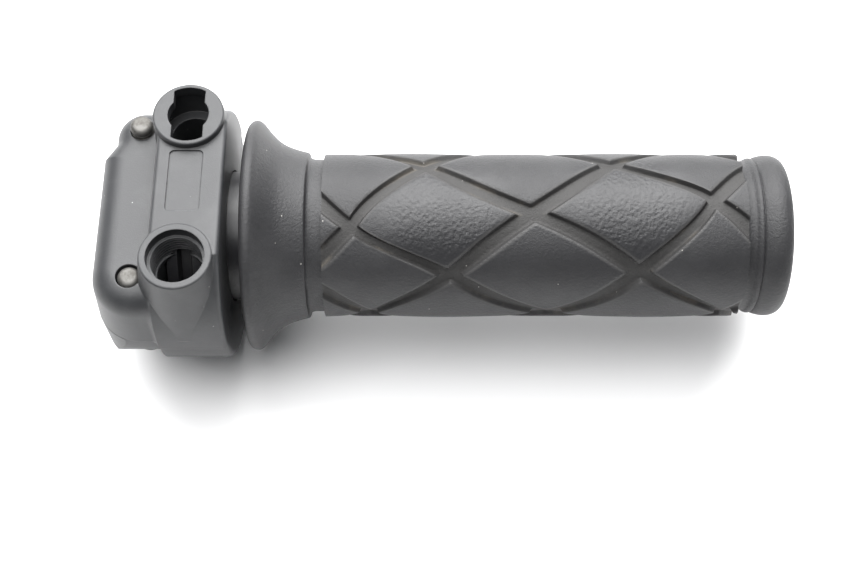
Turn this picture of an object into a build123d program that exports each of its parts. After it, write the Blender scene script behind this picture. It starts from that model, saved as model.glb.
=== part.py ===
"""A twist throttle for a 22.2 mm handlebar: a two-piece clamped housing with two cable ports,
a moulded throttle tube with its cable drum, and a flanged rubber grip.

Frame: the origin is the centre of the handlebar clamp bore. +X runs along the handlebar towards
the grip's outer end, +Y towards the return-cable port and +Z out of the cable ports, square to
the plane where the two housing halves meet.
"""

from build123d import *

import os
from math import cos, radians, sin, tan

os.makedirs("parts", exist_ok=True)

# --- Handlebar and clearances ---
bar_d = 22.2  # handlebar, outside
bar_clearance = 0.35  # radial, between handlebar and throttle tube
end_float = 0.3  # axial, between the drum and the housing at each side
drum_clearance = 0.6  # radial, around the drum
neck_clearance = 0.4  # radial, around the tube where it leaves the housing

# --- Housing ---
clamp_length = 13.6  # along the handlebar
clamp_half_width = 26.4  # from the bar axis to the side below the pull port
clamp_depth_front = 16.0
clamp_depth_rear = 14.8
clamp_rear_r = 25.7  # the rear clamp half is rounded about the bar
clamp_draft = 5.0  # degrees, the front half's sides lean in
clamp_edge_r = 5.6  # large moulded rounding of the clamp's front edges
clamp_corner_r = 10.5
clamp_shoulder_y = 12.6  # where the clamp's side starts to slope in to the upper screw lug
lug_shoulder_y = 16.4  # where that slope ends
lug_margin = 0.3  # the upper screw lug's radius at its front, beyond the edge rounding
drum_room = 13.4  # inside width of the drum chamber
housing_wall = 2.4  # end wall towards the grip
inner_wall = 2.0  # end wall towards the clamp
casing_step = 0.8  # from the clamp bore's end to the casing's inner face
casing_r_front = 28.1
casing_edge_r = 1.0
casing_root_r = 1.5  # blend between the clamp's top and the casing
casing_r_rear = 27.4
rear_shell = 2.8  # wall of the rear casing
rear_edge_r = 4.0
rear_casing_edge_r = 1.5
pad_height = 22.8  # flat pad between the ports
seam_size = 0.3  # fine step where the halves meet
peg_r = 1.2
peg_y = 26.0
peg_length = 3.0
peg_clearance = 0.1

# --- Cable ports ---
cable_r = 16.9  # pitch radius of the cable on the drum
groove_offset = 7.2  # from the drum chamber's inner end to the middle of the cable groove
port_stagger = 0.3  # each port stands this far from the groove, to opposite sides
port_r = 7.75  # outside of both port bosses at the mouth
port_edge_r = 0.5
port_root = 4.0  # height where the port bosses vanish inside the casing
pull_port_height = 23.1
pull_port_flare = 9.8  # degrees
return_port_height = 24.3
return_port_flare = 4.0
thread_major_d = 12.0
thread_pitch = 1.0
thread_turns = 6
thread_run_out = 0.2
counterbore_r = 6.15
counterbore_depth = 2.2
cable_hole_r = 5.0
lip_depth = 2.6  # bayonet lips over the return port
lip_slot_width = 6.8
lip_hole_r = 4.45
lip_slot_r = 6.75
bayonet_r = 7.05
bayonet_depth = 7.2
panel_depth = 0.4  # blank recessed panel on the pad
panel_length = 14.8
panel_width = 7.2
panel_corner_r = 1.0
panel_y = 1.3

# --- Screws ---
screw_d = 5.0
screw_clearance = 0.25
screw_x = 2.9
screw_y = 18.1
screw_length = 25.0  # under the head
upper_tip = 18.3  # height of the screw ends above the split plane
lower_tip = 16.0
tip_round = 1.2
screw_pitch = 0.8
screw_thread_turns = 9
screw_thread_depth = 0.35
head_d = 8.5
head_height = 5.0
head_chamfer = 0.35
head_room_r = 4.5
socket_af = 4.0
socket_depth = 2.75
washer_d = 8.6
washer_thickness = 1.2
washer_clearance = 0.1
washer_gap = 0.8
insert_d = 7.0
insert_length = 8.0
insert_bottom = 2.0

# --- Throttle tube ---
twist_range = 78.0  # degrees, closed to fully open
tube_wall = 1.7
neck_step = 1.25  # radial, from the tube to its neck
hub_step = 0.45  # radial, from the tube to the drum's hub
shoulder_drop = 2.8  # radial, from the rims to the shoulder that runs on the housing
groove_width = 3.2
groove_slope = 0.6
groove_depth = 1.0  # below the cable's pitch radius
rim_height = 1.3  # above the cable's pitch radius
rim_width = 2.3
stop_gap = 0.6  # degrees between the sector and its stops
sector_clearance = 0.7  # radial, inside the rear chamber
nipple_r = 2.6
nipple_lead_in = 4.0  # degrees from the sector's start to the pull cable's nipple
nipple_lead_out = 8.0  # degrees from the return cable's nipple to the sector's end

# --- Rubber grip ---
grip_gap = 3.7  # between housing and grip flange
grip_length = 118.9
flange_r = 25.8
flange_width = 3.4
flange_draft = 0.3
trumpet_length = 13.0  # from the flange's face to the neck band
trumpet_waist = 1.0  # how much the trumpet hollows between flange and neck
neck_band_r = 18.7
ring_groove_width = 3.9
ring_groove_depth = 1.2
body_r = 18.35
bead_length = 10.0  # end groove, thin ring and bead, beyond the body
end_groove_depth = 1.55
end_groove_width = 1.7
end_groove_slope = 0.6
bead_ring_x = 2.5  # from the body's end to the thin ring's crest
bead_ring_r = 17.4
bead_dip_x = 3.5
bead_dip_r = 17.0
bead_top_x = 6.6
bead_r = 18.05
end_face_r = 15.6
bar_end_lip = 2.2  # the grip's end lip beyond the tube
lip_clearance = 0.5  # radial, the end lip's bore beyond the tube's bore
tube_shoulder = 2.0  # how far the thick neck runs into the grip

# --- Values that follow from these ---
bore_r = bar_d / 2
tube_bore_r = bore_r + bar_clearance
tube_r = tube_bore_r + tube_wall
neck_r = tube_r + neck_step
hub_r = tube_r + hub_step
clamp_left = -clamp_length / 2
chamber_left = clamp_length / 2
chamber_right = chamber_left + drum_room
housing_right = chamber_right + housing_wall
casing_left = chamber_left + casing_step
casing_width = housing_right - casing_left
port_x = chamber_left + groove_offset
room_left = casing_left + inner_wall
hub_room_r = hub_r + drum_clearance
drum_left = chamber_left + end_float
drum_right = chamber_right - end_float
groove_left = port_x - groove_width / 2
groove_right = port_x + groove_width / 2
rim_left = groove_left - rim_width
rim_right = groove_right + rim_width
rim_r = cable_r + rim_height
shoulder_r = rim_r - shoulder_drop
groove_r = cable_r - groove_depth
chamber_r = rim_r + drum_clearance
neck_bore_r = neck_r + neck_clearance
rear_chamber_r = casing_r_rear - rear_shell
sector_r = rear_chamber_r - sector_clearance
sector_start = 90 + stop_gap + twist_range
sector_end = 270 - stop_gap
grip_left = housing_right + grip_gap
grip_right = grip_left + grip_length
tube_right = grip_right - bar_end_lip
neck_x = grip_left + trumpet_length
body_left = neck_x + ring_groove_width
body_right = grip_right - bead_length
thread_minor_r = thread_major_d / 2 - 0.55 * thread_pitch
thread_top = pad_height - counterbore_depth
thread_depth = thread_turns * thread_pitch + thread_run_out
pull_port = (port_x - port_stagger, -cable_r)
return_port = (port_x + port_stagger, cable_r)
lug_r = clamp_edge_r + lug_margin + clamp_depth_front * tan(radians(clamp_draft))
head_z = {"upper": upper_tip - screw_length, "lower": lower_tip - screw_length}
screw_place = {"upper": (screw_x, screw_y), "lower": (screw_x, -screw_y)}
past = 5.0  # how far a cutting profile runs past the part
up = (Align.CENTER, Align.CENTER, Align.MIN)
down = (Align.CENTER, Align.CENTER, Align.MAX)


def clamp_outline():
    """The clamp's outline on the split plane, running into the drum casing at its right."""
    with BuildSketch(Plane.XY) as outline:
        with BuildLine():
            lug = CenterArc((screw_x, screw_y), lug_r, 90, 90)
            Polyline(
                lug @ 1,
                (screw_x - lug_r, lug_shoulder_y),
                (clamp_left, clamp_shoulder_y),
                (clamp_left, -clamp_half_width),
                (port_x, -clamp_half_width),
                (port_x, screw_y + lug_r),
                lug @ 0,
            )
        make_face()
        corner = outline.vertices().group_by(Axis.Y)[0].sort_by(Axis.X)[0]
        fillet(corner, clamp_corner_r)
    return outline.sketch


def housing_outline():
    """The outline of both halves on the split plane: clamp and drum casing."""
    with BuildSketch(Plane.XY) as outline:
        add(clamp_outline())
        with Locations((casing_left + casing_width / 2, 0)):
            Rectangle(casing_width, 2 * casing_r_front)
    return outline.sketch


def inner_profile(room_r):
    """The hollow along the bar, as a half section: clamp bore, drum chamber and neck hole."""
    with BuildSketch(Plane.XY) as profile:
        with BuildLine():
            Polyline(
                (clamp_left - past, 0),
                (clamp_left - past, bore_r),
                (chamber_left, bore_r),
                (chamber_left, hub_room_r),
                (room_left, hub_room_r),
                (room_left, room_r),
                (chamber_right, room_r),
                (chamber_right, neck_bore_r),
                (housing_right + past, neck_bore_r),
                (housing_right + past, 0),
                close=True,
            )
        make_face()
    return profile.sketch


def port_plane(place):
    """The upright plane through a port's or screw's axis, with its origin on the split plane."""
    return Plane((*place, 0), x_dir=(1, 0, 0), z_dir=(0, -1, 0))


def port_boss(place, height, flare):
    """A round port boss with a softened rim, flared towards its root."""
    root_r = port_r + (height - port_root) * tan(radians(flare))
    shoulder = (port_r, height - port_edge_r)
    rim = (port_r - port_edge_r, height)
    with BuildPart() as boss:
        with BuildSketch(port_plane(place)):
            with BuildLine():
                Polyline((0, height), (0, port_root), (root_r, port_root), shoulder)
                RadiusArc(shoulder, rim, -port_edge_r)
                Line(rim, (0, height))
            make_face()
        revolve(axis=Axis((*place, 0), (0, 0, 1)))
    return boss.part


def thread_cut(place):
    """The pull port's thread as a stack of rings, one per pitch, over its tapping hole."""
    root_r = thread_minor_r - thread_pitch / 2
    major_r = thread_major_d / 2
    with BuildPart() as cutter:
        with Locations((*place, thread_top)):
            Cylinder(thread_minor_r, thread_depth, align=down)
        with BuildSketch(port_plane(place)):
            for turn in range(thread_turns):
                top = thread_top - (turn + 0.2) * thread_pitch
                with BuildLine():
                    Polyline(
                        (root_r, top),
                        (thread_minor_r, top),
                        (major_r, top - 0.3 * thread_pitch),
                        (major_r, top - 0.4 * thread_pitch),
                        (thread_minor_r, top - 0.7 * thread_pitch),
                        (root_r, top - 0.7 * thread_pitch),
                        close=True,
                    )
                make_face()
        revolve(axis=Axis((*place, 0), (0, 0, 1)))
    return cutter.part


def seam_cut():
    """A fine step around the front half's edge, where the two halves meet."""
    with BuildPart() as step:
        with BuildSketch(Plane.XY):
            add(housing_outline())
        extrude(amount=seam_size)
        with BuildSketch(Plane.XY):
            add(housing_outline())
            offset(amount=-seam_size, mode=Mode.REPLACE)
        extrude(amount=seam_size, mode=Mode.SUBTRACT)
    return step.part


# ---------------------------------------------------------------- front housing
with BuildPart() as front_housing:
    add(clamp_outline())
    extrude(amount=clamp_depth_front, taper=clamp_draft)
    top_edges = front_housing.faces().sort_by(Axis.Z)[-1].edges()
    fillet(top_edges.filter_by(lambda edge: edge.center().X < room_left), clamp_edge_r)

    # Drum casing: a half round about the bar axis, cut flat to make the pad.
    with BuildSketch(Plane.YZ.offset(casing_left)):
        Circle(casing_r_front)
        Rectangle(
            2 * casing_r_front, pad_height, align=(Align.CENTER, Align.MIN), mode=Mode.INTERSECT
        )
    extrude(amount=casing_width)
    outer_end = front_housing.faces().filter_by(Axis.X).sort_by(Axis.X)[-1]
    fillet(outer_end.edges().filter_by(lambda edge: edge.center().Z > 0.1), casing_edge_r)
    inner_end = front_housing.edges().filter_by(
        lambda edge: abs(edge.center().X - casing_left) < 0.01
    )
    fillet(inner_end.filter_by(lambda edge: edge.center().Z > clamp_depth_front + 0.1), casing_edge_r)
    root_edges = front_housing.edges().filter_by(
        lambda edge: abs(edge.center().X - casing_left) < 0.01
        and abs(edge.center().Z - clamp_depth_front) < 0.01
    )
    fillet(root_edges, casing_root_r)

    # Port bosses, flared down into the casing, and the casing trimmed to its end wall.
    add(port_boss(pull_port, pull_port_height, pull_port_flare))
    add(port_boss(return_port, return_port_height, return_port_flare))
    split(bisect_by=Plane.YZ.offset(housing_right), keep=Keep.BOTTOM)

    # Bar bore, drum chamber and the hole for the tube's neck.
    add(inner_profile(chamber_r))
    revolve(axis=Axis.X, mode=Mode.SUBTRACT)
    split(bisect_by=Plane.XY, keep=Keep.TOP)

    # Pull port: counterbore, ring-cut thread and cable hole.
    with Locations((*pull_port, pull_port_height)):
        Cylinder(counterbore_r, pull_port_height - thread_top, align=down, mode=Mode.SUBTRACT)
    add(thread_cut(pull_port), mode=Mode.SUBTRACT)
    for port_place in (pull_port, return_port):
        with Locations((*port_place, 0)):
            Cylinder(cable_hole_r, clamp_depth_front, align=up, mode=Mode.SUBTRACT)

    # Return port: a round chamber behind two bayonet lips.
    lip_floor = return_port_height - lip_depth
    with Locations((*return_port, lip_floor)):
        Cylinder(bayonet_r, bayonet_depth, align=down, mode=Mode.SUBTRACT)
    with BuildSketch(Plane.XY.offset(lip_floor)):
        with Locations(return_port):
            Rectangle(lip_slot_width, 2 * lip_slot_r)
            Circle(lip_slot_r, mode=Mode.INTERSECT)
            Circle(lip_hole_r)
    extrude(amount=lip_depth, mode=Mode.SUBTRACT)

    # Blank recessed panel on the pad.
    with BuildSketch(Plane.XY.offset(pad_height)):
        with Locations((port_x + port_stagger, panel_y)):
            RectangleRounded(panel_width, panel_length, panel_corner_r)
    extrude(amount=-panel_depth, mode=Mode.SUBTRACT)

    # Screw holes with their threaded inserts' seats, and the holes for the rear half's pegs.
    for place in screw_place.values():
        with Locations((*place, 0)):
            Cylinder(
                screw_d / 2 + screw_clearance,
                clamp_depth_front + past,
                align=up,
                mode=Mode.SUBTRACT,
            )
        with Locations((*place, insert_bottom)):
            Cylinder(insert_d / 2, insert_length, align=up, mode=Mode.SUBTRACT)
    for side in (1, -1):
        with Locations((port_x, side * peg_y, 0)):
            Cylinder(
                peg_r + peg_clearance,
                peg_length + 4 * peg_clearance,
                align=up,
                mode=Mode.SUBTRACT,
            )
    add(seam_cut(), mode=Mode.SUBTRACT)
front_housing.part.label = "front_housing"
export_step(front_housing.part, "parts/front_housing.step")


# ---------------------------------------------------------------- rear housing
with BuildPart() as rear_housing:
    add(clamp_outline())
    extrude(amount=-clamp_depth_rear)
    with BuildSketch(Plane.YZ.offset(clamp_left)):
        Circle(clamp_rear_r)
    extrude(amount=port_x - clamp_left, mode=Mode.INTERSECT)
    bottom_edges = rear_housing.faces().sort_by(Axis.Z)[0].edges()
    fillet(bottom_edges.filter_by(lambda edge: edge.center().X < port_x - 0.1), rear_edge_r)
    with BuildSketch(Plane.YZ.offset(casing_left)):
        Circle(casing_r_rear)
    extrude(amount=casing_width)
    outer_end = rear_housing.faces().filter_by(Axis.X).sort_by(Axis.X)[-1]
    fillet(outer_end.edges(), rear_casing_edge_r)
    split(bisect_by=Plane.XY, keep=Keep.BOTTOM)

    # The drum chamber is wider here, for the drum's stop sector.
    add(inner_profile(rear_chamber_r))
    revolve(axis=Axis.X, mode=Mode.SUBTRACT)

    # Screw holes, and counterbores from behind for the heads and washers.
    for kind, place in screw_place.items():
        with Locations((*place, 0)):
            Cylinder(
                screw_d / 2 + screw_clearance,
                clamp_depth_rear + past,
                align=down,
                mode=Mode.SUBTRACT,
            )
        with Locations((*place, head_z[kind] + washer_thickness)):
            Cylinder(head_room_r, clamp_depth_rear, align=down, mode=Mode.SUBTRACT)

    # Pegs that line the two halves up.
    for side in (1, -1):
        with Locations((port_x, side * peg_y, -rear_shell)):
            Cylinder(peg_r, peg_length + rear_shell, align=up)
rear_housing.part.label = "rear_housing"
export_step(rear_housing.part, "parts/rear_housing.step")


# ---------------------------------------------------------------- throttle tube
with BuildPart() as throttle_tube:
    with BuildSketch(Plane.XY):
        with BuildLine():
            Polyline(
                (drum_left, tube_bore_r),
                (drum_left, hub_r),
                (rim_left, hub_r),
                (rim_left, rim_r),
                (groove_left, rim_r),
                (groove_left + groove_slope, groove_r),
                (groove_right - groove_slope, groove_r),
                (groove_right, rim_r),
                (rim_right, rim_r),
                (rim_right, shoulder_r),
                (drum_right, shoulder_r),
                (drum_right, neck_r),
                (grip_left + tube_shoulder, neck_r),
                (grip_left + tube_shoulder, tube_r),
                (tube_right, tube_r),
                (tube_right, tube_bore_r),
                close=True,
            )
        make_face()
    revolve(axis=Axis.X)

    # Stop sector: its ends meet the front housing's flanks at the closed and open stops.
    with BuildSketch(Plane.YZ.offset(rim_left)):
        with BuildLine():
            arc = CenterArc((0, 0), sector_r, 90 - sector_end, sector_end - sector_start)
            Polyline(arc @ 0, (0, 0), arc @ 1)
        make_face()
        Circle(groove_r, mode=Mode.SUBTRACT)
    extrude(amount=rim_width)

    # Nipple pockets, open towards the grip, one for each cable.
    for angle in (sector_start + nipple_lead_in, sector_end - nipple_lead_out):
        with BuildSketch(Plane.YZ.offset(groove_left)):
            with Locations((cable_r * sin(radians(angle)), cable_r * cos(radians(angle)))):
                Circle(nipple_r)
        extrude(amount=groove_width + rim_width, mode=Mode.SUBTRACT)
throttle_tube.part.label = "throttle_tube"
export_step(throttle_tube.part, "parts/throttle_tube.step")


# ---------------------------------------------------------------- rubber grip
with BuildPart() as rubber_grip:
    lip_r = flange_width / 2
    flange_front = (grip_left, flange_r - lip_r)
    flange_back = (grip_left + flange_width, flange_r - lip_r + flange_draft)
    waist_r = (flange_r + neck_band_r) / 2 - trumpet_waist
    ring_start = neck_x + ring_groove_depth / 2
    ring_r = neck_band_r - ring_groove_depth
    end_groove_r = body_r - end_groove_depth
    bead_dip = (body_right + bead_dip_x, bead_dip_r)
    end_corner = (grip_right, end_face_r)
    with BuildSketch(Plane.XY):
        with BuildLine():
            ThreePointArc(flange_front, (grip_left + lip_r, flange_r), flange_back)
            Spline(
                flange_back,
                (grip_left + trumpet_length / 2, waist_r),
                (neck_x, neck_band_r),
                tangents=[(1.0, -1.25), (1.0, -0.12)],
            )
            Polyline(
                (neck_x, neck_band_r),
                (ring_start, ring_r),
                (body_left, ring_r),
                (body_left, body_r),
                (body_right, body_r),
                (body_right + end_groove_slope, end_groove_r),
                (body_right + end_groove_width, end_groove_r),
                (body_right + bead_ring_x, bead_ring_r),
                bead_dip,
            )
            Spline(
                bead_dip,
                (body_right + bead_top_x, bead_r),
                end_corner,
                tangents=[(1, 0.9), (0.5, -1)],
            )
            Polyline(
                end_corner,
                (grip_right, tube_bore_r + lip_clearance),
                (tube_right, tube_bore_r + lip_clearance),
                (tube_right, tube_r),
                (grip_left + tube_shoulder, tube_r),
                (grip_left + tube_shoulder, neck_r),
                (grip_left, neck_r),
                flange_front,
            )
        make_face()
    revolve(axis=Axis.X)
rubber_grip.part.label = "rubber_grip"
export_step(rubber_grip.part, "parts/rubber_grip.step")


# ---------------------------------------------------------------- clamp screws, washers, inserts
for kind, place in screw_place.items():
    seat = head_z[kind] + washer_thickness
    with BuildPart() as clamp_screw:
        with Locations((*place, head_z[kind])):
            Cylinder(head_d / 2, head_height, align=down)
            Cylinder(screw_d / 2, screw_length, align=up)
        fillet(clamp_screw.edges().sort_by(Axis.Z)[-1], tip_round)
        chamfer(clamp_screw.edges().sort_by(Axis.Z)[0], head_chamfer)
        thread_end = head_z[kind] + screw_length - tip_round
        with BuildSketch(port_plane(place)):
            for turn in range(screw_thread_turns):
                crest = thread_end - turn * screw_pitch
                with BuildLine():
                    Polyline(
                        (screw_d / 2 + screw_thread_depth, crest),
                        (screw_d / 2 - screw_thread_depth, crest - screw_pitch / 2),
                        (screw_d / 2 + screw_thread_depth, crest - screw_pitch),
                        close=True,
                    )
                make_face()
        revolve(axis=Axis((*place, 0), (0, 0, 1)), mode=Mode.SUBTRACT)
        with BuildSketch(Plane.XY.offset(head_z[kind] - head_height)):
            with Locations(place):
                RegularPolygon(socket_af / 2, 6, major_radius=False)
        extrude(amount=socket_depth, mode=Mode.SUBTRACT)
    clamp_screw.part.label = kind + "_clamp_screw"
    export_step(clamp_screw.part, "parts/" + kind + "_clamp_screw.step")

    with BuildPart() as lock_washer:
        with Locations((*place, seat)):
            Cylinder(washer_d / 2, washer_thickness, align=down)
            Cylinder(
                screw_d / 2 + washer_clearance, washer_thickness, align=down, mode=Mode.SUBTRACT
            )
        with Locations((screw_x + washer_d / 2, place[1], seat)):
            Box(washer_d, washer_gap, 4 * washer_thickness, mode=Mode.SUBTRACT)
    lock_washer.part.label = kind + "_lock_washer"
    export_step(lock_washer.part, "parts/" + kind + "_lock_washer.step")

    with BuildPart() as thread_insert:
        with Locations((*place, insert_bottom)):
            Cylinder(insert_d / 2, insert_length, align=up)
            Cylinder(screw_d / 2, insert_length, align=up, mode=Mode.SUBTRACT)
    thread_insert.part.label = kind + "_thread_insert"
    export_step(thread_insert.part, "parts/" + kind + "_thread_insert.step")
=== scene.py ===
from math import cos, floor, pi, radians, sin

import bmesh
import bpy
from mathutils import Matrix, Vector


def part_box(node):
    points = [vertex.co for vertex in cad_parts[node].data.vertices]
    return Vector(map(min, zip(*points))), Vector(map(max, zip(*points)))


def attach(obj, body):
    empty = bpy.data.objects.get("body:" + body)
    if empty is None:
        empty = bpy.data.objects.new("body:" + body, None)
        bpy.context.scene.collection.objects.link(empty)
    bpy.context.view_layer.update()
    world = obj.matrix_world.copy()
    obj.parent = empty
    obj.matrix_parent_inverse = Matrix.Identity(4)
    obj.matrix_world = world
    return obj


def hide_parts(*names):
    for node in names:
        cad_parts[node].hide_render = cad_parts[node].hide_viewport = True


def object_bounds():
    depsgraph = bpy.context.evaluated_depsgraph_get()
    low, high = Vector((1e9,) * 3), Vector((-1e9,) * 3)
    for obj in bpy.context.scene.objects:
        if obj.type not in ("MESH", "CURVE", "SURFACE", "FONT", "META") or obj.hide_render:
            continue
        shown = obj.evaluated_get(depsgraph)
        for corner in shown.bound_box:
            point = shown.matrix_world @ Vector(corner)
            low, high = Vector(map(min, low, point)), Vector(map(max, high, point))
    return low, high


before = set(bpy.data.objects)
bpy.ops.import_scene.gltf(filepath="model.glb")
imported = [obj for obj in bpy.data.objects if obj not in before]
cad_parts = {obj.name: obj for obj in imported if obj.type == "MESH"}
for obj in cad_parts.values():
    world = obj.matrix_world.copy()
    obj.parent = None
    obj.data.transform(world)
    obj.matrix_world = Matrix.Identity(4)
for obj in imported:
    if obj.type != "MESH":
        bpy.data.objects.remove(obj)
cad_low, cad_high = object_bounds()


# ---------------------------------------------------------------- rubber grip
# One moulded rubber sleeve pushed over the tube: a trumpet flange, a smooth neck with a ring
# groove, a body of raised leaf-shaped blocks between crossing grooves, and a plain end bead.
mm = 0.001
grip_low, grip_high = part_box("rubber_grip")
flange_x = grip_low.x
bar_end_x = grip_high.x
neck_end_x = flange_x + 13.0 * mm
body_start_x = neck_end_x + 3.9 * mm
body_end_x = bar_end_x - 10.0 * mm
groove_floor_r = 17.1 * mm
block_height = 1.1 * mm
block_crown = 0.35 * mm

pattern_x = 88.7 * mm  # the middle of the pattern
column = 21.3 * mm  # along the grip, from one column of crossings to the next
column_squeeze = 0.8 * mm  # columns stand closer towards the ends
column_bulge = 3.3 * mm  # how far the grooves bow along the grip
end_column = 17.0 * mm  # the same spacing beyond the outer crossings
row_sway = 3.8 * mm  # columns lean along the grip from row to row
row_turn = radians(45)
row_start = radians(-12.6)  # from +Z towards +Y
row_lean = radians(2.9)  # rows crowd towards the ports' side
row_twist = radians(4.8)  # per column, on the rows that face the ports and their opposites
plain_distance = 9.0  # groove distance given to the smooth ends
cell = 23.6 * mm  # between parallel grooves, square to them
groove_floor = 1.25 * mm / cell  # half width of the floor, as a share of a cell
groove_top = 1.9 * mm / cell  # half width where the walls reach the blocks
cuts = 40  # mesh steps per cell
floor_cuts = 2
wall_cuts = 5
p_cells, q_cells = 12, 4  # cells that the flat sheet is cut from
first_p_cell = -8
kept_columns = 3.4  # each way from the middle, a little more than the grip's body takes
crease = radians(50)  # sharper edges than this stay sharp


def pattern_place(a, b):
    """Place along the grip and angle round it, for a point a columns along and b rows round."""
    turn = b * row_turn
    inner = min(max(a, -2.0), 2.0)
    along = pattern_x + column * inner - column_squeeze * inner**3 - row_sway * sin(turn)
    along += column_bulge * sin(inner * pi / 3) * cos(2 * turn) ** 2 + end_column * (a - inner)
    return along, turn + row_start - row_lean * sin(turn) + row_twist * inner * cos(turn) ** 4


def station(steps):
    """Share of the way across the cells, with the mesh steps gathered at the groove walls."""
    whole = floor(steps / cuts + 1e-6)
    part = steps - whole * cuts
    mirrored = part > cuts / 2
    part = min(part, cuts - part)
    if part <= floor_cuts:
        share = groove_floor * part / floor_cuts
    elif part <= floor_cuts + wall_cuts:
        share = groove_floor + (groove_top - groove_floor) * (part - floor_cuts) / wall_cuts
    else:
        rest = (part - floor_cuts - wall_cuts) / (cuts / 2 - floor_cuts - wall_cuts)
        share = groove_top + (0.5 - groove_top) * rest
    return whole + 1 - share if mirrored else whole + share


def smooth(t):
    t = min(max(t, 0.0), 1.0)
    return t * t * (3 - 2 * t)


def wrap(bm):
    """Bends the flat pattern sheet round the grip and raises the blocks."""
    distance = bm.verts.layers.float["groove_distance"]
    for vert in bm.verts:
        p, q = vert.co.x, vert.co.y
        off_p, off_q = abs(p - round(p)), abs(q - round(q))
        along, angle = pattern_place(p + q, p - q)
        rise = 1.0
        crown = 1.0
        for off in (off_p, off_q):
            rise *= smooth((off - groove_floor) / (groove_top - groove_floor))
            crown *= sin(min(1.0, max(0.0, off - groove_floor) / (0.5 - groove_floor)) * pi / 2)
        r = groove_floor_r + block_height * rise + block_crown * crown
        vert[distance] = min(off_p, off_q) * cell / mm
        vert.co = (along, r * sin(angle), r * cos(angle))


def draw_out(bm, loop, profile):
    """Extrudes an edge loop ring by ring along a profile of (place along the grip, radius)."""
    distance = bm.verts.layers.float["groove_distance"]
    for along, radius in profile:
        made = bmesh.ops.extrude_edge_only(bm, edges=loop)["geom"]
        for vert in made:
            if isinstance(vert, bmesh.types.BMVert):
                spoke = Vector((0, vert.co.y, vert.co.z)).normalized() * radius
                vert.co = (along, spoke.y, spoke.z)
                vert[distance] = plain_distance
        loop = [edge for edge in made if isinstance(edge, bmesh.types.BMEdge)]
        loop = [edge for edge in loop if edge.is_boundary]
    return loop


def rounded_profile(points, rounds=2):
    """Cuts the corners of a profile, again and again, so that it runs soft."""
    for _ in range(rounds):
        cut = [points[0]]
        for (x0, r0), (x1, r1) in zip(points, points[1:]):
            cut.append((0.75 * x0 + 0.25 * x1, 0.75 * r0 + 0.25 * r1))
            cut.append((0.25 * x0 + 0.75 * x1, 0.25 * r0 + 0.75 * r1))
        points = cut + [points[-1]]
    return points


sheet = bmesh.new()
sheet.verts.layers.float.new("groove_distance")
bmesh.ops.create_grid(sheet, x_segments=p_cells * cuts, y_segments=q_cells * cuts, size=0.5)
for vert in sheet.verts:
    p_steps = round((vert.co.x + 0.5) * p_cells * cuts)
    q_steps = round((vert.co.y + 0.5) * q_cells * cuts)
    vert.co.x = station(p_steps) + first_p_cell
    vert.co.y = station(q_steps)
beyond = [vert for vert in sheet.verts if abs(vert.co.x + vert.co.y) > kept_columns]
bmesh.ops.delete(sheet, geom=beyond, context="VERTS")
wrap(sheet)
bmesh.ops.remove_doubles(sheet, verts=sheet.verts, dist=0.001 * mm)
for end_x, out in ((body_start_x, -1), (body_end_x, 1)):
    bmesh.ops.bisect_plane(
        sheet,
        geom=sheet.verts[:] + sheet.edges[:] + sheet.faces[:],
        dist=0.001 * mm,
        plane_co=(end_x, 0, 0),
        plane_no=(out, 0, 0),
        clear_outer=True,
    )
bmesh.ops.remove_doubles(sheet, verts=sheet.verts, dist=0.02 * mm)
near_start = [e for e in sheet.edges if e.is_boundary and e.verts[0].co.x < pattern_x]
near_end = [e for e in sheet.edges if e.is_boundary and e.verts[0].co.x > pattern_x]

# From the ring groove up the trumpet, round the flange's thick rim and down its face. Each pair is a
# place along the grip and a radius, in millimetres.
ring_groove = [(16.9, 17.1), (16.6, 17.1), (13.5, 17.2), (13.3, 18.5), (13.0, 18.7)]
trumpet = [(12.0, 18.9), (9.9, 19.5), (7.8, 20.35), (6.2, 21.5), (4.8, 22.95), (3.8, 24.2), (3.2, 25.0)]
flange_rim = [(2.4, 25.75), (1.6, 25.9), (0.8, 25.7), (0.15, 24.9), (0.0, 23.6), (0.0, 21.0)]
start_profile = rounded_profile(
    [(flange_x + out * mm, r * mm) for out, r in ring_groove + trumpet + flange_rim]
)
tube_end_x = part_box("throttle_tube")[1].x
socket_r = 14.4 * mm  # round the tube's thick neck
socket_end_x = flange_x + 2.0 * mm
sleeve_r = 13.15 * mm  # round the tube
start_profile += [(flange_x, socket_r), (socket_end_x, socket_r), (socket_end_x, sleeve_r)]

# From the end groove over the thin ring and the bead to the open end.
end_groove = [(0.0, 17.0), (0.3, 16.8), (1.7, 16.8), (2.5, 17.4), (3.3, 17.5), (3.5, 17.05)]
bead = [(3.75, 17.4), (4.8, 17.8), (6.4, 18.15), (7.9, 18.05), (9.2, 17.5), (9.9, 16.6), (10.0, 15.4)]
end_profile = rounded_profile([(body_end_x + out * mm, r * mm) for out, r in end_groove + bead])
lip_r = 11.95 * mm
lip_bevel = 0.5 * mm
end_profile += [
    (bar_end_x, lip_r + lip_bevel),
    (bar_end_x - lip_bevel, lip_r),
    (tube_end_x, lip_r),
    (tube_end_x, sleeve_r),
]
start_loop = draw_out(sheet, near_start, start_profile)
end_loop = draw_out(sheet, near_end, end_profile)
bmesh.ops.bridge_loops(sheet, edges=start_loop + end_loop)
bmesh.ops.recalc_face_normals(sheet, faces=sheet.faces)
for face in sheet.faces:
    face.smooth = True
for edge in sheet.edges:
    edge.smooth = edge.calc_face_angle(0) < crease
mesh = bpy.data.meshes.new("patterned_grip")
sheet.to_mesh(mesh)
sheet.free()
patterned_grip = bpy.data.objects.new("patterned_grip", mesh)
bpy.context.scene.collection.objects.link(patterned_grip)


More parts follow.
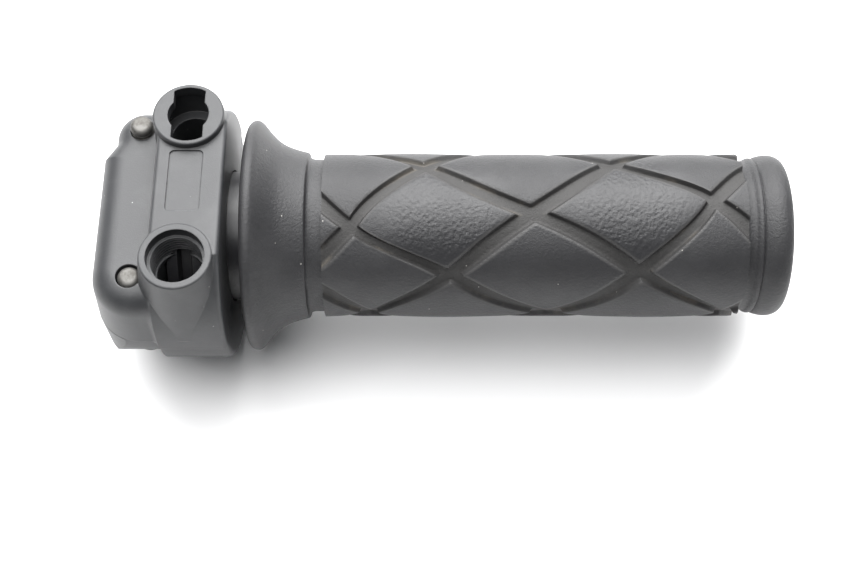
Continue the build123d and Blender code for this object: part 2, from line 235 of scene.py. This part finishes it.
# The finishes are built from two shared effects: grain is moulded skin, and dust is what settles
# and scuffs. Each is a node group that every material sets in its own way.
def node_group(name, inputs, outputs):
    """An empty shader node group with named sockets, and its input and output nodes."""
    group = bpy.data.node_groups.new(name, "ShaderNodeTree")
    for label, kind, value in inputs:
        socket = group.interface.new_socket(name=label, in_out="INPUT", socket_type=kind)
        if value is not None:
            socket.default_value = value
    for label, kind in outputs:
        group.interface.new_socket(name=label, in_out="OUTPUT", socket_type=kind)
    return group, group.nodes.new("NodeGroupInput"), group.nodes.new("NodeGroupOutput")


def add_node(tree, kind, label="", **settings):
    """A node with its properties and unlinked input values set by name."""
    node = tree.nodes.new(kind)
    node.label = label
    for key, value in settings.items():
        if hasattr(node, key):
            setattr(node, key, value)
        else:
            node.inputs[key.replace("_", " ")].default_value = value
    return node


def ramp(tree, source, low, high, label=""):
    """Maps the range low..high of a value smoothly onto 0..1."""
    node = add_node(tree, "ShaderNodeMapRange", label, interpolation_type="SMOOTHSTEP")
    node.inputs["From Min"].default_value = low
    node.inputs["From Max"].default_value = high
    tree.links.new(source, node.inputs["Value"])
    return node.outputs["Result"]


def math_node(tree, operation, first, second, label=""):
    """One math step; each operand is a socket or a number."""
    node = add_node(tree, "ShaderNodeMath", label, operation=operation)
    for socket, value in zip(node.inputs, (first, second)):
        if isinstance(value, (int, float)):
            socket.default_value = value
        else:
            tree.links.new(value, socket)
    return node.outputs[0]


# Grain: pebbles and a fine tooth, as one height.
grain, grain_in, grain_out = node_group(
    "moulded_grain",
    [
        ("Vector", "NodeSocketVector", None),
        ("Pebble scale", "NodeSocketFloat", 900.0),
        ("Pebble amount", "NodeSocketFloat", 0.5),
        ("Fine scale", "NodeSocketFloat", 4000.0),
        ("Fine amount", "NodeSocketFloat", 0.3),
    ],
    [("Height", "NodeSocketFloat")],
)
pebbles = add_node(grain, "ShaderNodeTexVoronoi", feature="SMOOTH_F1")
tooth = add_node(grain, "ShaderNodeTexNoise", Detail=3.0, Roughness=0.6)
for texture, scale in ((pebbles, "Pebble scale"), (tooth, "Fine scale")):
    grain.links.new(grain_in.outputs["Vector"], texture.inputs["Vector"])
    grain.links.new(grain_in.outputs[scale], texture.inputs["Scale"])
pebble_amount = grain_in.outputs["Pebble amount"]
pebble_height = math_node(grain, "MULTIPLY", pebbles.outputs["Distance"], pebble_amount)
tooth_height = math_node(grain, "MULTIPLY", tooth.outputs["Fac"], grain_in.outputs["Fine amount"])
grain.links.new(math_node(grain, "ADD", pebble_height, tooth_height), grain_out.inputs["Height"])

# Dust: cloudy patches and sparse pale specks.
dust, dust_in, dust_out = node_group(
    "dust_and_specks",
    [
        ("Vector", "NodeSocketVector", None),
        ("Cloud scale", "NodeSocketFloat", 60.0),
        ("Speck scale", "NodeSocketFloat", 260.0),
        ("Speck size", "NodeSocketFloat", 0.05),
    ],
    [("Clouds", "NodeSocketFloat"), ("Specks", "NodeSocketFloat")],
)
clouds = add_node(dust, "ShaderNodeTexNoise", Detail=6.0, Roughness=0.65)
specks = add_node(dust, "ShaderNodeTexVoronoi", Randomness=1.0)
for texture, scale in ((clouds, "Cloud scale"), (specks, "Speck scale")):
    dust.links.new(dust_in.outputs["Vector"], texture.inputs["Vector"])
    dust.links.new(dust_in.outputs[scale], texture.inputs["Scale"])
speck_near = math_node(dust, "LESS_THAN", specks.outputs["Distance"], dust_in.outputs["Speck size"])
speck_rare = math_node(dust, "GREATER_THAN", specks.outputs["Color"], 0.72)
dust.links.new(ramp(dust, clouds.outputs["Fac"], 0.42, 0.68), dust_out.inputs["Clouds"])
dust.links.new(math_node(dust, "MULTIPLY", speck_near, speck_rare), dust_out.inputs["Specks"])


def use_group(tree, group, vector, **values):
    """A group placed in a material, fed with a coordinate and its own values."""
    node = tree.nodes.new("ShaderNodeGroup")
    node.node_tree = group
    tree.links.new(vector, node.inputs["Vector"])
    for key, value in values.items():
        node.inputs[key.replace("_", " ").capitalize()].default_value = value
    return node


def tint(tree, mask, under, over):
    """A colour that goes from under to over with a mask; each is a socket or a colour."""
    node = add_node(tree, "ShaderNodeMix", data_type="RGBA")
    tree.links.new(mask, node.inputs["Factor"])
    for socket, value in ((node.inputs[6], under), (node.inputs[7], over)):
        if isinstance(value, tuple):
            socket.default_value = (*value, 1.0)
        else:
            tree.links.new(value, socket)
    return node.outputs[2]


def new_material(name, roughness=0.5, metallic=0.0, specular=0.5):
    """A material with its shader, object coordinates, and the tree they stand in."""
    material = bpy.data.materials.new(name)
    material.use_nodes = True
    tree = material.node_tree
    shader = tree.nodes["Principled BSDF"]
    shader.inputs["Roughness"].default_value = roughness
    shader.inputs["Metallic"].default_value = metallic
    shader.inputs["Specular IOR Level"].default_value = specular
    place = tree.nodes.new("ShaderNodeTexCoord").outputs["Object"]
    return material, tree, shader, place


def bump_from(tree, shader, height, distance, strength=1.0, normal=None):
    """Feeds a height into the shader's normal."""
    node = add_node(tree, "ShaderNodeBump", Strength=strength, Distance=distance)
    tree.links.new(height, node.inputs["Height"])
    if normal is not None:
        tree.links.new(normal, node.inputs["Normal"])
    tree.links.new(node.outputs["Normal"], shader.inputs["Normal"])


rubber, tree, shader, place = new_material("aged_rubber", roughness=0.5, specular=0.45)
settled = use_group(tree, dust, place, cloud_scale=55.0, speck_scale=380.0, speck_size=0.055)
groove = add_node(tree, "ShaderNodeAttribute", attribute_name="groove_distance").outputs["Fac"]
in_groove = ramp(tree, groove, 2.2, 1.2)
wall_foot = math_node(tree, "MULTIPLY", ramp(tree, groove, 0.7, 1.3), ramp(tree, groove, 1.9, 1.4))
wall_top = math_node(tree, "MULTIPLY", ramp(tree, groove, 1.6, 1.95), ramp(tree, groove, 2.5, 2.05))
patchy = ramp(tree, settled.outputs["Clouds"], 0.2, 0.9)
colour = tint(tree, settled.outputs["Clouds"], (0.018, 0.018, 0.0195), (0.026, 0.026, 0.0275))
colour = tint(tree, math_node(tree, "MULTIPLY", in_groove, 0.5), colour, (0.036, 0.034, 0.031))
colour = tint(tree, math_node(tree, "MULTIPLY", wall_foot, patchy), colour, (0.060, 0.054, 0.046))
colour = tint(tree, math_node(tree, "MULTIPLY", wall_top, 0.4), colour, (0.060, 0.058, 0.056))
colour = tint(tree, settled.outputs["Specks"], colour, (0.30, 0.29, 0.27))
tree.links.new(colour, shader.inputs["Base Color"])

# The two blocks that the palm rubs have a coarser, leathery skin that shines more.
palm_blocks = ((0.069, -0.003, 0.0182), (0.110, -0.001, 0.0182))
palm = None
for block_middle in palm_blocks:
    reach = add_node(tree, "ShaderNodeVectorMath", operation="DISTANCE")
    reach.inputs[1].default_value = block_middle
    tree.links.new(place, reach.inputs[0])
    near = ramp(tree, reach.outputs["Value"], 17 * mm, 8 * mm)
    palm = near if palm is None else math_node(tree, "MAXIMUM", palm, near)
palm = math_node(tree, "MULTIPLY", palm, ramp(tree, groove, 1.8, 3.0))
leather = use_group(
    tree, grain, place, pebble_scale=1250.0, pebble_amount=0.9, fine_scale=3000.0, fine_amount=0.6
)
skin = use_group(
    tree, grain, place, pebble_scale=1500.0, pebble_amount=0.35, fine_scale=3200.0, fine_amount=0.6
)
height = add_node(tree, "ShaderNodeMix", data_type="FLOAT")
tree.links.new(palm, height.inputs["Factor"])
tree.links.new(skin.outputs["Height"], height.inputs["A"])
tree.links.new(leather.outputs["Height"], height.inputs["B"])
rough = math_node(tree, "SUBTRACT", 0.52, math_node(tree, "MULTIPLY", palm, 0.12))
rough = math_node(tree, "ADD", rough, math_node(tree, "MULTIPLY", in_groove, 0.12))
tree.links.new(rough, shader.inputs["Roughness"])
bump_from(tree, shader, height.outputs["Result"], 0.17 * mm)
mesh.materials.append(rubber)
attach(patterned_grip, "twist_grip")
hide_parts("rubber_grip")


# ---------------------------------------------------------------- throttle housing
# Two moulded halves of glass-filled nylon, black and handled for years: a satin skin with a fine
# tooth, pale rubbed edges and some dust. The front half carries both cable ports.
edge_round = 0.35 * mm

# Edge wear: where a rounded normal leaves the true one, broken up by noise.
edge_wear, wear_in, wear_out = node_group(
    "edge_wear",
    [
        ("Vector", "NodeSocketVector", None),
        ("Breakup scale", "NodeSocketFloat", 500.0),
    ],
    [("Mask", "NodeSocketFloat")],
)
rounded = add_node(edge_wear, "ShaderNodeBevel", samples=6, Radius=edge_round)
true_normal = add_node(edge_wear, "ShaderNodeNewGeometry")
agreement = add_node(edge_wear, "ShaderNodeVectorMath", operation="DOT_PRODUCT")
edge_wear.links.new(rounded.outputs["Normal"], agreement.inputs[0])
edge_wear.links.new(true_normal.outputs["Normal"], agreement.inputs[1])
off_edge = ramp(edge_wear, agreement.outputs["Value"], 0.985, 0.86)
breakup = add_node(edge_wear, "ShaderNodeTexNoise", Detail=4.0)
edge_wear.links.new(wear_in.outputs["Vector"], breakup.inputs["Vector"])
edge_wear.links.new(wear_in.outputs["Breakup scale"], breakup.inputs["Scale"])
broken = ramp(edge_wear, breakup.outputs["Fac"], 0.38, 0.62)
edge_wear.links.new(math_node(edge_wear, "MULTIPLY", off_edge, broken), wear_out.inputs["Mask"])


def refinish(node_name, material):
    """Gives a CAD node its finish."""
    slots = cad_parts[node_name].data.materials
    slots.clear()
    slots.append(material)


nylon, tree, shader, place = new_material("housing_nylon", roughness=0.46, specular=0.5)
skin = use_group(
    tree, grain, place, pebble_scale=2400.0, pebble_amount=0.25, fine_scale=5200.0, fine_amount=0.5
)
settled = use_group(tree, dust, place, cloud_scale=80.0, speck_scale=420.0, speck_size=0.05)
worn = use_group(tree, edge_wear, place, breakup_scale=420.0)
colour = tint(tree, settled.outputs["Clouds"], (0.026, 0.027, 0.029), (0.038, 0.039, 0.041))
colour = tint(tree, math_node(tree, "MULTIPLY", worn.outputs["Mask"], 0.45), colour, (0.16, 0.16, 0.16))
colour = tint(tree, settled.outputs["Specks"], colour, (0.30, 0.30, 0.29))
tree.links.new(colour, shader.inputs["Base Color"])
soft_edge = add_node(tree, "ShaderNodeBevel", samples=6, Radius=edge_round)
bump_from(tree, shader, skin.outputs["Height"], 0.05 * mm, normal=soft_edge.outputs["Normal"])
refinish("front_housing", nylon)
refinish("rear_housing", nylon)


# ---------------------------------------------------------------- throttle tube
# Smooth moulded black nylon that turns on the bar inside the rubber grip. Little of it shows but its
# neck, between the housing and the flange.
tube_nylon, tree, shader, place = new_material("tube_nylon", roughness=0.38, specular=0.5)
settled = use_group(tree, dust, place, cloud_scale=120.0, speck_scale=420.0, speck_size=0.04)
colour = tint(tree, settled.outputs["Clouds"], (0.016, 0.016, 0.018), (0.026, 0.026, 0.027))
tree.links.new(colour, shader.inputs["Base Color"])
skin = use_group(
    tree, grain, place, pebble_scale=1500.0, pebble_amount=0.1, fine_scale=4000.0, fine_amount=0.4
)
bump_from(tree, shader, skin.outputs["Height"], 0.03 * mm)
refinish("throttle_tube", tube_nylon)


# ---------------------------------------------------------------- screws, washers and inserts
# Zinc-plated M5 socket screws with split washers, dulled by grime, that pull the two halves together
# from behind. Their tips come out through turned brass inserts in the front half.
zinc, tree, shader, place = new_material("dull_zinc", roughness=0.55, metallic=0.7)
settled = use_group(tree, dust, place, cloud_scale=420.0, speck_scale=900.0, speck_size=0.1)
colour = tint(tree, settled.outputs["Clouds"], (0.13, 0.127, 0.12), (0.07, 0.066, 0.06))
tree.links.new(colour, shader.inputs["Base Color"])
skin = use_group(
    tree, grain, place, pebble_scale=1800.0, pebble_amount=0.4, fine_scale=5000.0, fine_amount=0.5
)
bump_from(tree, shader, skin.outputs["Height"], 0.06 * mm)

brass, tree, shader, place = new_material("turned_brass", roughness=0.35, metallic=1.0)
settled = use_group(tree, dust, place, cloud_scale=500.0, speck_scale=900.0, speck_size=0.1)
colour = tint(tree, settled.outputs["Clouds"], (0.55, 0.40, 0.17), (0.30, 0.21, 0.09))
tree.links.new(colour, shader.inputs["Base Color"])
for kind in ("upper", "lower"):
    refinish(kind + "_clamp_screw", zinc)
    refinish(kind + "_lock_washer", zinc)
    refinish(kind + "_thread_insert", brass)


# ---------------------------------------------------------------- studio
# A plain pale floor under the part, broad soft boxes behind and overhead, and a weak cool fill from
# all round. None of it belongs to the part.
floor_gap = 0.3 * mm  # keeps the floor clear of the part's lowest point
floor_z = cad_low.z - floor_gap
floor_sheet = bmesh.new()
bmesh.ops.create_grid(floor_sheet, x_segments=1, y_segments=1, size=3.0)
bmesh.ops.translate(floor_sheet, verts=floor_sheet.verts, vec=(0, 0, floor_z))
mesh = bpy.data.meshes.new("floor")
floor_sheet.to_mesh(mesh)
floor_sheet.free()
studio_floor = bpy.data.objects.new("floor", mesh)
bpy.context.scene.collection.objects.link(studio_floor)
pale, tree, shader, place = new_material("pale_floor", roughness=0.85, specular=0.2)
shader.inputs["Base Color"].default_value = (0.86, 0.86, 0.86, 1.0)
mesh.materials.append(pale)


def soft_light(name, place, aim, size, power):
    """A rectangular soft box that points at a spot on the part."""
    light = bpy.data.lights.new(name, "AREA")
    light.shape = "RECTANGLE"
    light.size, light.size_y = size
    light.energy = power
    lamp = bpy.data.objects.new(name, light)
    lamp.location = place
    lamp.rotation_euler = (Vector(aim) - Vector(place)).to_track_quat("-Z", "Y").to_euler()
    bpy.context.scene.collection.objects.link(lamp)
    return lamp


middle = (0.07, 0.0, 0.0)
soft_light("back_box", (0.06, 0.60, 0.62), middle, (1.4, 0.8), 27.0)
soft_light("top_box", (0.0, 0.06, 0.95), middle, (1.2, 0.8), 17.0)
world = bpy.data.worlds.new("studio")
world.use_nodes = True
world.node_tree.nodes["Background"].inputs["Color"].default_value = (0.93, 0.95, 1.0, 1.0)
world.node_tree.nodes["Background"].inputs["Strength"].default_value = 0.16
bpy.context.scene.world = world
bpy.context.scene.view_settings.view_transform = "Standard"


# ---------------------------------------------------------------- camera
# It stands in front of the part and high above it, and looks down on the ports with the grip level
# across the view.
eye = Vector((66.0, -151.8, 287.8)) * mm
look = Vector((0.002, 0.435, -0.901)).normalized()
up = Vector((0.0, 0.901, 0.435))
right = look.cross(up).normalized()
lens = bpy.data.cameras.new("camera")
lens.sensor_width = 36.0
lens.lens = 60.1
lens.clip_start = 0.01
camera = bpy.data.objects.new("camera", lens)
camera.matrix_world = Matrix((right, right.cross(look), -look)).transposed().to_4x4()
camera.location = eye
bpy.context.scene.collection.objects.link(camera)
bpy.context.scene.camera = camera
